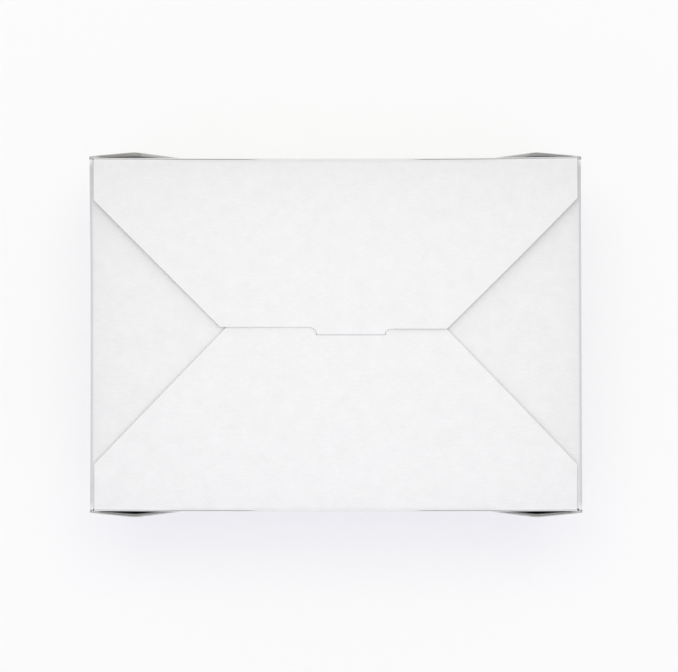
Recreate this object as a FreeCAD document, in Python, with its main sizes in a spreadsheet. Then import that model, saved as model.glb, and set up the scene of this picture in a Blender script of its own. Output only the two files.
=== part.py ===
import FreeCAD, Part
import os
import Sketcher
from FreeCAD import Vector

# A takeout food box folded from one sheet of board, closed, standing on its bottom.
# +X runs along the length, +Y towards the back (hinge) side, +Z up.
# The origin is the middle of the underside.

document = FreeCAD.newDocument("takeout_food_box")

# Driving sizes, in millimetres

DRIVING_SIZES = (
    ("board", 0.45),              # thickness of the sheet
    ("fold_radius", 0.15),        # inner radius of every sharp fold
    ("base_length", 197.0),       # outside of the bottom, along X
    ("base_width", 139.0),        # outside of the bottom, along Y
    ("end_flare", 9.7),           # how far an end wall leans out over the full height
    ("long_flare", 8.3),          # how far a long wall leans out over the full height
    ("box_height", 63.5),         # underside to the top of the locking flap
    ("layer_gap", 0.2),           # air between flaps that lie on each other
    ("fold_lap", 6.0),            # depth over which a flap's own strip of wall joins the wall
    # end flaps
    ("end_flap_inset", 1.8),      # sides of an end flap inside the long walls' rim
    ("end_flap_reach", 67.0),     # rim to blunt end
    ("end_flap_blunt", 46.0),     # width of the blunt end
    ("end_flap_corner", 9.0),     # rounding of the blunt end
    # front and locking flap
    ("long_flap_inset", 1.35),    # sides of these two flaps inside the end walls' rim
    ("front_straight", 21.2),     # length of the straight sides beside the fold
    ("front_tuck", 11.5),         # reach under the locking flap, past the meeting corners
    ("front_corner", 7.0),        # rounding of the tucked edge
    ("slit_clearance", 0.2),      # air round the tab in the slit
    ("lock_straight", 18.2),      # length of the straight sides beside the hinge
    ("meeting_half", 49.8),       # half the distance between the corners where the flaps meet
    ("meeting_line", 2.55),       # those corners, behind the middle of the box
    ("left_shoulder", 3.35),      # edge left of the tab, behind the middle of the box
    ("right_shoulder", 2.6),      # edge right of the tab
    ("tab_left", -8.5),           # left side of the tab
    ("tab_width", 30.4),
    ("tab_drop", 8.0),            # depth of the tab under the top
    ("tab_corner", 3.0),          # rounding of the tab's tip
    ("hinge_gap", 0.15),          # air between the hinge bead and the flap's root
    # corner gussets, sizes at the full height
    ("gusset_drop", 0.3),         # top of the gussets below the end flaps
    ("gusset_reach", 46.4),       # corner to the diagonal fold
    ("ridge_reach", 20.4),        # corner to the soft ridge
    ("ridge_rise", 1.65),         # how far the ridge stands off
    ("ply_gap", 0.15),            # air between the layers of a gusset
    ("corner_slit", 0.2),         # air between the end wall and the folded end of the long wall
    ("gusset_slope", 0.545),      # fall of the cut top edge past the ridge, per length
)

sheet = document.addObject("Spreadsheet::Sheet", "Sizes")
for row, (alias, size) in enumerate(DRIVING_SIZES, start=1):
    sheet.set(f"A{row}", alias)
    sheet.set(f"B{row}", str(size))
    sheet.setAlias(f"B{row}", alias)
document.recompute()

# Heights and faces that several pieces share, as expressions of the driving sizes

BOARD = "Sizes.board"
END_LEAN = "(Sizes.end_flare / Sizes.box_height)"
LONG_LEAN = "(Sizes.long_flare / Sizes.box_height)"
END_PLY = f"(Sizes.board * sqrt(1 + {END_LEAN} * {END_LEAN}))"
LONG_PLY = f"(Sizes.board * sqrt(1 + {LONG_LEAN} * {LONG_LEAN}))"
LID_TOP = "Sizes.box_height"
FRONT_TOP = "(Sizes.box_height - Sizes.board - Sizes.layer_gap)"
END_TOP = "(Sizes.box_height - 2 * Sizes.board - 2 * Sizes.layer_gap)"
GUSSET_TOP = f"({END_TOP} - Sizes.gusset_drop)"
LAP_START = f"({GUSSET_TOP} - Sizes.fold_lap)"
OUTER_BEND = "(Sizes.fold_radius + Sizes.board)"


def end_face(level):
    """Outer face of an end wall at this height, from the middle of the box."""
    return f"(Sizes.base_length / 2 + {END_LEAN} * {level})"


def long_face(level):
    """Outer face of a long wall at this height, from the middle of the box."""
    return f"(Sizes.base_width / 2 + {LONG_LEAN} * {level})"


HINGE_LEVEL = f"(Sizes.box_height - {LONG_PLY} / 2)"
HINGE_LINE = f"({long_face(HINGE_LEVEL)} - {LONG_PLY} / 2)"


def measure(expression):
    """The value of an expression of the driving sizes."""
    return float(sheet.evalExpression(str(expression)))


# Sketching and modelling helpers

EDGE_MATCH = 0.002    # how near an edge's ends lie to the place that is looked for
FLAT_WITHIN = 1e-6    # how far a flat side's fourth corner may lie off the other three


def new_body(label):
    body = document.addObject("PartDesign::Body", label)
    body.Label = label
    return body


def new_sketch(body, name, role, offset="0"):
    """An empty sketch on one of the body's origin planes, moved along its normal."""
    sketch = body.newObject("Sketcher::SketchObject", name)
    plane = next(item for item in body.Origin.OriginFeatures if item.Role == role)
    sketch.AttachmentSupport = [(plane, "")]
    sketch.MapMode = "FlatFace"
    sketch.setExpression("AttachmentOffset.Base.z", str(offset))
    return sketch


def pin_point(sketch, geometry, end, across, along):
    """Hold one end of a line or arc at a place given by two expressions."""
    for kind, expression in (("DistanceX", across), ("DistanceY", along)):
        size = measure(expression)
        index = sketch.addConstraint(Sketcher.Constraint(kind, -1, 1, geometry, end, size))
        sketch.setExpression(f"Constraints[{index}]", str(expression))


def outline(body, name, role, corners, offset="0"):
    """A closed polygon whose corners are pairs of expressions."""
    sketch = new_sketch(body, name, role, offset)
    places = [Vector(measure(across), measure(along), 0) for across, along in corners]
    count = len(corners)
    for start in range(count):
        sketch.addGeometry(Part.LineSegment(places[start], places[(start + 1) % count]))
    for start in range(count):
        sketch.addConstraint(Sketcher.Constraint("Coincident", start, 2, (start + 1) % count, 1))
    for start, (across, along) in enumerate(corners):
        pin_point(sketch, start, 1, across, along)
    return sketch


def pad(body, name, sketch, length, middle=False):
    feature = body.newObject("PartDesign::Pad", name)
    feature.Profile = sketch
    feature.SideType = "Symmetric" if middle else "One side"
    feature.setExpression("Length", str(length))
    document.recompute()
    return feature


def cut_through(body, name, sketch, may_miss=False):
    """Cut the sketch's area right through the body, both ways from the sketch."""
    before = body.Shape.Volume
    feature = body.newObject("PartDesign::Pocket", name)
    feature.Profile = sketch
    feature.SideType = "Symmetric"
    feature.Type = "ThroughAll"
    document.recompute()
    if not may_miss and not body.Shape.Volume < before:
        raise RuntimeError(f"{name} removes nothing")
    return feature


def edges_at(body, spots):
    """Names of the straight edges whose middle lies at each spot; None matches any value."""
    names = []
    for spot in spots:
        wanted = [None if part is None else measure(part) for part in spot]
        found = []
        for index, edge in enumerate(body.Shape.Edges, start=1):
            ends = [vertex.Point for vertex in edge.Vertexes]
            near = all(
                goal is None or all(abs(end[axis] - goal) < EDGE_MATCH for end in ends)
                for axis, goal in enumerate(wanted)
            )
            if near and len(ends) == 2:
                found.append(f"Edge{index}")
        if not found:
            raise RuntimeError(f"no edge of {body.Label} at {spot}")
        names.extend(found)
    return names


def fillet(body, name, spots, radius):
    names = edges_at(body, spots)
    solid = body.Tip
    feature = body.newObject("PartDesign::Fillet", name)
    feature.Base = (solid, names)
    feature.setExpression("Radius", str(radius))
    document.recompute()
    return feature


# Tray: the bottom and the four leaning walls up to the top of the gussets

tray = new_body("tray")
pad(
    tray,
    "tray_block",
    outline(
        tray,
        "tray_block_outline",
        "XZ_Plane",
        [
            (f"-{end_face('0')}", "0"),
            (end_face("0"), "0"),
            (end_face(GUSSET_TOP), GUSSET_TOP),
            (f"-{end_face(GUSSET_TOP)}", GUSSET_TOP),
        ],
    ),
    f"(2 * {long_face(GUSSET_TOP)})",
    middle=True,
)
for side, sign in (("back", ""), ("front", "-")):
    cut_through(
        tray,
        f"{side}_lean",
        outline(
            tray,
            f"{side}_lean_outline",
            "YZ_Plane",
            [
                (f"{sign}{long_face('0')}", "0"),
                (f"{sign}{long_face(GUSSET_TOP)}", GUSSET_TOP),
                (f"{sign}(2 * {long_face(GUSSET_TOP)})", GUSSET_TOP),
                (f"{sign}(2 * {long_face(GUSSET_TOP)})", "0"),
            ],
        ),
    )
fillet(tray, "tray_bottom_folds", [(None, None, "0")], OUTER_BEND)
hollow = tray.newObject("PartDesign::Thickness", "tray_hollow")
top_face = next(
    f"Face{index}"
    for index, face in enumerate(tray.getObject("tray_bottom_folds").Shape.Faces, start=1)
    if face.BoundBox.ZMin > measure(GUSSET_TOP) - measure(BOARD)
)
hollow.Base = (tray.getObject("tray_bottom_folds"), [top_face])
hollow.Reversed = True
hollow.setExpression("Value", BOARD)
document.recompute()


# Corner slits: each long wall ends just short of the end wall, where it folds outwards

KNUCKLE_TOP = (
    "(Sizes.box_height * (3 * Sizes.board + 2 * Sizes.corner_slit) / Sizes.ridge_reach)"
)
WALL_END = f"({END_PLY} + Sizes.corner_slit)"

for side, sign in (("right", ""), ("left", "-")):
    cut_through(
        tray,
        f"corner_slits_{side}",
        outline(
            tray,
            f"corner_slits_{side}_outline",
            "XZ_Plane",
            [
                (f"{sign}({end_face(KNUCKLE_TOP)} - {WALL_END})", KNUCKLE_TOP),
                (f"{sign}({end_face(KNUCKLE_TOP)} - {END_PLY})", KNUCKLE_TOP),
                (f"{sign}({end_face(GUSSET_TOP)} - {END_PLY})", GUSSET_TOP),
                (f"{sign}({end_face(GUSSET_TOP)} - {WALL_END})", GUSSET_TOP),
            ],
        ),
    )


# Corner gusset, back right: the end wall's board runs round the corner as the outer ply,
# turns back at the diagonal fold as the inner ply and turns again into the long wall.
# All its faces are flat and none is square to another, so it is built face by face.

RIDGE_RATE = "(Sizes.ridge_rise / Sizes.ridge_reach)"
CREASE_RATE = "(Sizes.ridge_rise / (Sizes.gusset_reach - Sizes.ridge_reach))"


def at_corner(level, inwards, outwards):
    """A point of the gusset's section, inwards from the box's corner."""
    rise = f"{RIDGE_RATE} * {inwards}"
    return (f"({end_face(level)} - {inwards})", f"({long_face(level)} + {outwards} + {rise})")


def at_ridge(level, outwards):
    share = f"{level} / Sizes.box_height"
    return (
        f"({end_face(level)} - Sizes.ridge_reach * {share})",
        f"({long_face(level)} + {outwards} + Sizes.ridge_rise * {share})",
    )


def at_crease(level, back, outwards):
    """A point of the gusset's section, back from the diagonal fold."""
    reach = f"Sizes.gusset_reach * {level} / Sizes.box_height"
    return (
        f"({end_face(level)} - {reach} + {back})",
        f"({long_face(level)} + {outwards} + {CREASE_RATE} * {back})",
    )


STACK = "(2 * Sizes.board + 2 * Sizes.ply_gap)"
OUTER_PLY_INSIDE = "(Sizes.board + 2 * Sizes.ply_gap)"
INNER_PLY_OUTSIDE = "(Sizes.board + Sizes.ply_gap)"
INNER_PLY_INSIDE = "Sizes.ply_gap"
TURN_END = f"({WALL_END} + Sizes.board)"
IN_WALL = "(-Sizes.board / 2)"


def gusset_section(level):
    """Both plies, the turn at the diagonal fold and the turn into the long wall."""
    return [
        at_corner(level, "0", "(-Sizes.board)"),
        at_corner(level, "0", STACK),
        at_ridge(level, STACK),
        at_crease(level, "0", STACK),
        at_crease(level, "0", INNER_PLY_INSIDE),
        at_ridge(level, INNER_PLY_INSIDE),
        at_corner(level, TURN_END, INNER_PLY_INSIDE),
        at_corner(level, TURN_END, IN_WALL),
        at_corner(level, WALL_END, IN_WALL),
        at_corner(level, WALL_END, INNER_PLY_OUTSIDE),
        at_ridge(level, INNER_PLY_OUTSIDE),
        at_crease(level, BOARD, INNER_PLY_OUTSIDE),
        at_crease(level, BOARD, OUTER_PLY_INSIDE),
        at_ridge(level, OUTER_PLY_INSIDE),
        at_corner(level, END_PLY, OUTER_PLY_INSIDE),
        at_corner(level, END_PLY, "(-Sizes.board)"),
    ]


def knuckle_top_section(level):
    """The stack pressed solid, just under the open plies."""
    return [
        at_corner(level, "0", "(-Sizes.board)"),
        at_corner(level, "0", STACK),
        at_ridge(level, STACK),
        at_crease(level, "0", STACK),
        at_crease(level, "0", IN_WALL),
    ]


def knuckle_foot_section(level):
    """The bottom corner, where the folds of the gusset run together."""
    return [
        at_corner(level, "0", "(-Sizes.board)"),
        at_corner(level, "0", "Sizes.board / 4"),
        at_corner(level, "Sizes.board / 2", "Sizes.board / 3"),
        at_corner(level, BOARD, "Sizes.board / 4"),
        at_corner(level, BOARD, IN_WALL),
    ]


def places_at(corners, level):
    return [Vector(measure(x), measure(y), measure(level)) for x, y in corners]


def flat_sided(lower, upper):
    """A solid between two outlines, with flat sides, or with creased ones where they twist."""
    count = len(lower)
    faces = [Part.Face(Part.makePolygon(ring + ring[:1])) for ring in (lower, upper)]
    for here in range(count):
        there = (here + 1) % count
        side = [lower[here], lower[there], upper[there], upper[here]]
        across = (side[1] - side[0]).cross(side[3] - side[0])
        if abs(across.dot(side[2] - side[0])) < FLAT_WITHIN * across.Length:
            faces.append(Part.Face(Part.makePolygon(side + side[:1])))
        else:
            faces.append(Part.Face(Part.makePolygon([side[0], side[1], side[2], side[0]])))
            faces.append(Part.Face(Part.makePolygon([side[0], side[2], side[3], side[0]])))
    solid = Part.makeSolid(Part.makeShell(faces))
    return solid if solid.Volume > 0 else solid.reversed()


plies = flat_sided(
    places_at(gusset_section(KNUCKLE_TOP), KNUCKLE_TOP),
    places_at(gusset_section(GUSSET_TOP), GUSSET_TOP),
)
knuckle = flat_sided(
    places_at(knuckle_foot_section(OUTER_BEND), OUTER_BEND),
    places_at(knuckle_top_section(KNUCKLE_TOP), KNUCKLE_TOP),
)

# The cut top edge is level from the corner to the ridge and slopes down past it
RIDGE_TOP_X = at_ridge(GUSSET_TOP, "0")[0]
PAST_CREASE = f"({RIDGE_TOP_X} - Sizes.gusset_reach)"
PAST_CREASE_LEVEL = f"({GUSSET_TOP} - Sizes.gusset_slope * Sizes.gusset_reach)"
slope_corners = [
    Vector(measure(x), 0, measure(level))
    for x, level in (
        (RIDGE_TOP_X, GUSSET_TOP),
        (PAST_CREASE, GUSSET_TOP),
        (PAST_CREASE, PAST_CREASE_LEVEL),
    )
]
slope_face = Part.Face(Part.makePolygon(slope_corners + slope_corners[:1]))
above_slope = slope_face.extrude(Vector(0, measure("Sizes.base_width"), 0))
gusset = document.addObject("Part::Feature", "corner_gusset")
gusset.Label = "corner_gusset"
gusset.Shape = plies.cut(above_slope).fuse(knuckle)
if not gusset.Shape.Volume < plies.Volume:
    raise RuntimeError("the slope of the gusset's top edge removes nothing")


def mirrored(source, name, normal):
    twin = document.addObject("Part::Mirroring", name)
    twin.Source = source
    twin.Base = Vector(0, 0, 0)
    twin.Normal = normal
    document.recompute()
    return twin


LEFT_RIGHT = Vector(1, 0, 0)
FRONT_BACK = Vector(0, 1, 0)
gusset_back_left = mirrored(gusset, "gusset_back_left", LEFT_RIGHT)
gusset_front_right = mirrored(gusset, "gusset_front_right", FRONT_BACK)
gusset_front_left = mirrored(gusset_back_left, "gusset_front_left", FRONT_BACK)


# End flaps: the strip of end wall under the fold, the fold, and the flap over the food

end_flap = new_body("end_flap")


def folded_strip(body, name, role, face, ply, top, tip, width):
    """A strip of wall that turns into a level flap ending at the tip, as wide as given."""
    under = f"({top} - Sizes.board)"
    corners = [
        (face(LAP_START), LAP_START),
        (face(top), top),
        (tip, top),
        (tip, under),
        (f"({face(under)} - {ply})", under),
        (f"({face(LAP_START)} - {ply})", LAP_START),
    ]
    pad(body, name, outline(body, f"{name}_section", role, corners), width, middle=True)


END_TIP = f"({end_face(END_TOP)} - Sizes.end_flap_reach)"
END_SIDE = f"({long_face(LID_TOP)} - Sizes.end_flap_inset)"
folded_strip(
    end_flap, "end_strip", "XZ_Plane", end_face, END_PLY, END_TOP, END_TIP, f"(2 * {END_SIDE})"
)
fillet(end_flap, "end_fold_outside", [(end_face(END_TOP), None, END_TOP)], OUTER_BEND)
END_UNDER = f"({END_TOP} - Sizes.board)"
fillet(
    end_flap,
    "end_fold_inside",
    [(f"({end_face(END_UNDER)} - {END_PLY})", None, END_UNDER)],
    "Sizes.fold_radius",
)
END_BLUNT_SIDE = "(Sizes.end_flap_blunt / 2)"
TAPER_START = f"({end_face(LAP_START)} - 4 * Sizes.board)"
for side, sign in (("back", ""), ("front", "-")):
    cut_through(
        end_flap,
        f"end_taper_{side}",
        outline(
            end_flap,
            f"end_taper_{side}_outline",
            "XY_Plane",
            [
                (TAPER_START, f"{sign}{END_SIDE}"),
                (TAPER_START, f"{sign}(2 * {END_SIDE})"),
                (f"({END_TIP} - Sizes.board)", f"{sign}(2 * {END_SIDE})"),
                (f"({END_TIP} - Sizes.board)", f"{sign}{END_BLUNT_SIDE}"),
                (END_TIP, f"{sign}{END_BLUNT_SIDE}"),
            ],
        ),
    )
fillet(
    end_flap,
    "end_flap_corners",
    [(END_TIP, END_BLUNT_SIDE, None), (END_TIP, f"-{END_BLUNT_SIDE}", None)],
    "Sizes.end_flap_corner",
)
end_flap_left = mirrored(end_flap, "end_flap_left", LEFT_RIGHT)


# Front flap: folds over from the front wall, tapers, and has the slit for the tab

front_flap = new_body("front_flap")
FLAP_SIDE = f"({end_face(LID_TOP)} - Sizes.long_flap_inset)"
FRONT_TIP = "(Sizes.meeting_line + Sizes.front_tuck)"
FRONT_TAPER = f"(Sizes.front_straight - {long_face(FRONT_TOP)})"
FRONT_TAPER_RATE = f"(({FLAP_SIDE} - Sizes.meeting_half) / (Sizes.meeting_line - {FRONT_TAPER}))"
FRONT_TIP_SIDE = f"(Sizes.meeting_half - Sizes.front_tuck * {FRONT_TAPER_RATE})"


def front_face(level):
    return f"(-{long_face(level)})"


def trim_to_wall_end(body, name):
    """Let a flap's strip of long wall end where the long wall ends, beside the corner slits."""
    for side, sign in (("right", ""), ("left", "-")):
        corners = [
            (f"{sign}({end_face(LAP_START)} - {WALL_END})", LAP_START),
            (f"{sign}(2 * {end_face(LAP_START)})", LAP_START),
            (f"{sign}(2 * {end_face(LAP_START)})", LID_TOP),
            (f"{sign}({end_face(LID_TOP)} - {WALL_END})", LID_TOP),
        ]
        cut_through(
            body,
            f"{name}_{side}",
            outline(body, f"{name}_{side}_outline", "XZ_Plane", corners),
            may_miss=True,
        )


FRONT_UNDER = f"({FRONT_TOP} - Sizes.board)"
pad(
    front_flap,
    "front_strip",
    outline(
        front_flap,
        "front_strip_section",
        "YZ_Plane",
        [
            (front_face(LAP_START), LAP_START),
            (front_face(FRONT_TOP), FRONT_TOP),
            (FRONT_TIP, FRONT_TOP),
            (FRONT_TIP, FRONT_UNDER),
            (f"({front_face(FRONT_UNDER)} + {LONG_PLY})", FRONT_UNDER),
            (f"({front_face(LAP_START)} + {LONG_PLY})", LAP_START),
        ],
    ),
    f"(2 * {FLAP_SIDE})",
    middle=True,
)
fillet(front_flap, "front_fold_outside", [(None, front_face(FRONT_TOP), FRONT_TOP)], OUTER_BEND)
fillet(
    front_flap,
    "front_fold_inside",
    [(None, f"({front_face(FRONT_UNDER)} + {LONG_PLY})", FRONT_UNDER)],
    "Sizes.fold_radius",
)
trim_to_wall_end(front_flap, "front_strip_end")
for side, sign in (("right", ""), ("left", "-")):
    cut_through(
        front_flap,
        f"front_taper_{side}",
        outline(
            front_flap,
            f"front_taper_{side}_outline",
            "XY_Plane",
            [
                (f"{sign}{FLAP_SIDE}", FRONT_TAPER),
                (f"{sign}(2 * {FLAP_SIDE})", FRONT_TAPER),
                (f"{sign}(2 * {FLAP_SIDE})", f"({FRONT_TIP} + Sizes.board)"),
                (f"{sign}{FRONT_TIP_SIDE}", f"({FRONT_TIP} + Sizes.board)"),
                (f"{sign}{FRONT_TIP_SIDE}", FRONT_TIP),
            ],
        ),
    )
fillet(
    front_flap,
    "front_flap_corners",
    [(FRONT_TIP_SIDE, FRONT_TIP, None), (f"-{FRONT_TIP_SIDE}", FRONT_TIP, None)],
    "Sizes.front_corner",
)

# The tab leans back by the drop of its own path round the hinge, so it draws straight out
TAB_LEAN = f"(Sizes.tab_drop * Sizes.tab_drop / (2 * {HINGE_LINE}))"
TAB_RIGHT = "(Sizes.tab_left + Sizes.tab_width)"
cut_through(
    front_flap,
    "tab_slit",
    outline(
        front_flap,
        "tab_slit_outline",
        "XY_Plane",
        [
            ("(Sizes.tab_left - Sizes.slit_clearance)", "-Sizes.slit_clearance"),
            (f"({TAB_RIGHT} + Sizes.slit_clearance)", "-Sizes.slit_clearance"),
            (f"({TAB_RIGHT} + Sizes.slit_clearance)", "(Sizes.board + Sizes.slit_clearance)"),
            ("(Sizes.tab_left - Sizes.slit_clearance)", "(Sizes.board + Sizes.slit_clearance)"),
        ],
    ),
)


# Back rim: the top of the back wall, ending in the round bead that the locking flap turns on

back_rim = new_body("back_rim")
bead_sketch = new_sketch(back_rim, "back_rim_section", "YZ_Plane")
RIM_CORNERS = (
    (long_face(LAP_START), LAP_START),
    (f"({HINGE_LINE} + {LONG_PLY} / 2)", HINGE_LEVEL),
    (f"({HINGE_LINE} - {LONG_PLY} / 2)", HINGE_LEVEL),
    (f"({long_face(LAP_START)} - {LONG_PLY})", LAP_START),
)
rim_places = [Vector(measure(across), measure(along), 0) for across, along in RIM_CORNERS]
bead_top = Vector(measure(HINGE_LINE), measure(f"{HINGE_LEVEL} + {LONG_PLY} / 2"), 0)
bead_sketch.addGeometry(Part.LineSegment(rim_places[0], rim_places[1]))
bead_sketch.addGeometry(Part.Arc(rim_places[1], bead_top, rim_places[2]))
bead_sketch.addGeometry(Part.LineSegment(rim_places[2], rim_places[3]))
bead_sketch.addGeometry(Part.LineSegment(rim_places[3], rim_places[0]))
bead_sketch.addConstraint(Sketcher.Constraint("Coincident", 0, 2, 1, 1))
bead_sketch.addConstraint(Sketcher.Constraint("Coincident", 1, 2, 2, 1))
bead_sketch.addConstraint(Sketcher.Constraint("Coincident", 2, 2, 3, 1))
bead_sketch.addConstraint(Sketcher.Constraint("Coincident", 3, 2, 0, 1))
pin_point(bead_sketch, 0, 1, *RIM_CORNERS[0])
pin_point(bead_sketch, 1, 3, HINGE_LINE, HINGE_LEVEL)
pin_point(bead_sketch, 2, 1, *RIM_CORNERS[2])
pin_point(bead_sketch, 3, 1, *RIM_CORNERS[3])
bead_sketch.addConstraint(Sketcher.Constraint("Horizontal", 1, 1, 1, 2))
pad(back_rim, "back_rim_strip", bead_sketch, f"(2 * {FLAP_SIDE})", middle=True)
trim_to_wall_end(back_rim, "back_rim_end")


# Folded box: everything that is one continuous sheet and stays still


def joined(name, shapes):
    union = document.addObject("Part::MultiFuse", name)
    union.Label = name
    union.Shapes = shapes
    union.Refine = True
    document.recompute()
    return union


tray_with_flaps = joined(
    "tray_with_flaps", [tray, end_flap, end_flap_left, front_flap, back_rim]
)
folded_box = joined(
    "folded_box",
    [tray_with_flaps, gusset, gusset_back_left, gusset_front_right, gusset_front_left],
)


# Locking flap: hinged on the back rim, with the tab that drops through the front flap's slit

locking_flap = new_body("locking_flap")
LID_UNDER = "(Sizes.box_height - Sizes.board)"
ROOT_LINE = f"({HINGE_LINE} - {LONG_PLY} / 2 - Sizes.hinge_gap)"
LOCK_TAPER = f"({long_face(LID_TOP)} - Sizes.lock_straight)"
TAPER_RATE = f"(({FLAP_SIDE} - Sizes.meeting_half) / ({LOCK_TAPER} - Sizes.meeting_line))"
LEFT_TIP = f"(Sizes.meeting_half + (Sizes.left_shoulder - Sizes.meeting_line) * {TAPER_RATE})"
RIGHT_TIP = f"(Sizes.meeting_half + (Sizes.right_shoulder - Sizes.meeting_line) * {TAPER_RATE})"
pad(
    locking_flap,
    "flap_panel",
    outline(
        locking_flap,
        "flap_outline",
        "XY_Plane",
        [
            (f"-{FLAP_SIDE}", ROOT_LINE),
            (f"-{FLAP_SIDE}", LOCK_TAPER),
            (f"-{LEFT_TIP}", "Sizes.left_shoulder"),
            ("Sizes.tab_left", "Sizes.left_shoulder"),
            ("Sizes.tab_left", "Sizes.board / 2"),
            (TAB_RIGHT, "Sizes.board / 2"),
            (TAB_RIGHT, "Sizes.right_shoulder"),
            (RIGHT_TIP, "Sizes.right_shoulder"),
            (FLAP_SIDE, LOCK_TAPER),
            (FLAP_SIDE, ROOT_LINE),
        ],
        LID_UNDER,
    ),
    BOARD,
)
for side, spot_x in (("left", "Sizes.tab_left"), ("right", TAB_RIGHT)):
    fillet(
        locking_flap,
        f"tab_root_{side}",
        [(spot_x, f"Sizes.{side}_shoulder", None)],
        f"(Sizes.{side}_shoulder - 3 * Sizes.fold_radius - Sizes.board)",
    )
pad(
    locking_flap,
    "tab",
    outline(
        locking_flap,
        "tab_section",
        "YZ_Plane",
        [
            ("0", LID_TOP),
            (TAB_LEAN, f"({LID_TOP} - Sizes.tab_drop)"),
            (f"({TAB_LEAN} + Sizes.board)", f"({LID_TOP} - Sizes.tab_drop)"),
            (BOARD, LID_TOP),
        ],
        "Sizes.tab_left",
    ),
    "Sizes.tab_width",
)
TAB_TIP = f"({LID_TOP} - Sizes.tab_drop)"
fillet(
    locking_flap,
    "tab_tip_corners",
    [("Sizes.tab_left", None, TAB_TIP), (TAB_RIGHT, None, TAB_TIP)],
    "Sizes.tab_corner",
)
fillet(locking_flap, "tab_fold_outside", [(None, "0", LID_TOP)], OUTER_BEND)


# Every object has to be sound before anything is written

PIECES = (folded_box, locking_flap)

for item in document.Objects:
    if "Invalid" in item.State or "Error" in item.State:
        raise RuntimeError(f"{item.Label} failed: {item.State}")
os.makedirs("parts", exist_ok=True)
for piece in PIECES:
    shape = piece.Shape
    if shape.isNull() or not shape.isValid():
        raise RuntimeError(f"{piece.Label} has no sound shape")
    if len(shape.Solids) != 1:
        raise RuntimeError(f"{piece.Label} is {len(shape.Solids)} solids, not one")
for piece in PIECES:
    piece.Shape.exportStep(f"parts/{piece.Label}.step")
    box = piece.Shape.BoundBox
    print(piece.Label, f"volume {piece.Shape.Volume:.1f}", box)
print("hinge", measure(HINGE_LINE), measure(HINGE_LEVEL))
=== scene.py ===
import bmesh
import bpy
import math
import numpy as np
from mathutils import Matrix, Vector


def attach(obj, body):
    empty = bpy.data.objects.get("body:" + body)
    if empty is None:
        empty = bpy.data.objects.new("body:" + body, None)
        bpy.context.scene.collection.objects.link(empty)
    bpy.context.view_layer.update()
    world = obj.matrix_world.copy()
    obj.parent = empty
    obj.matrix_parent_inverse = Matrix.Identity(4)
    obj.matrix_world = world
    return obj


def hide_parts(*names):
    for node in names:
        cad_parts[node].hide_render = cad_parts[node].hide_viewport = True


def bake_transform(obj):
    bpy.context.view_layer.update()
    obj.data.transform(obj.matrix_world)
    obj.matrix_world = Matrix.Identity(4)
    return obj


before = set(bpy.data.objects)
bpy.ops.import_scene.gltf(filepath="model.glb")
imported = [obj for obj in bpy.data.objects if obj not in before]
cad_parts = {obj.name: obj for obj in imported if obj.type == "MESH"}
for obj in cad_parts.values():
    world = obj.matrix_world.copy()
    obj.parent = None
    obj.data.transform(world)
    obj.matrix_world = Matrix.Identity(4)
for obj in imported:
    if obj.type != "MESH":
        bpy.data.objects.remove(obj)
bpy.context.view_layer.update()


# The board
# Bleached paperboard, 0.45 mm thick, with a matt outside, a thin coating on the food side
# and raw fibre where the die has cut it.

OUTSIDE_WHITE = (0.876, 0.876, 0.878, 1)
COATED_WHITE = (0.85, 0.85, 0.845, 1)
# raw fibre, made darker than that as painted shade for the dark lines along the flaps' cut edges
RAW_EDGE_AND_SHADE = (0.6, 0.585, 0.56, 1)
STRAND_SHARE = 0.8            # weight of the long strands, beside one for the clouds and the tooth
FIBRE_MEAN = 1.4              # mean of the three patterns added up


def add_node(tree, kind, place, **settings):
    """A new node of this kind, at its place in the node editor and with its settings."""
    node = tree.nodes.new(kind)
    node.location = place
    for name, value in settings.items():
        setattr(node, name, value)
    return node


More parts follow.
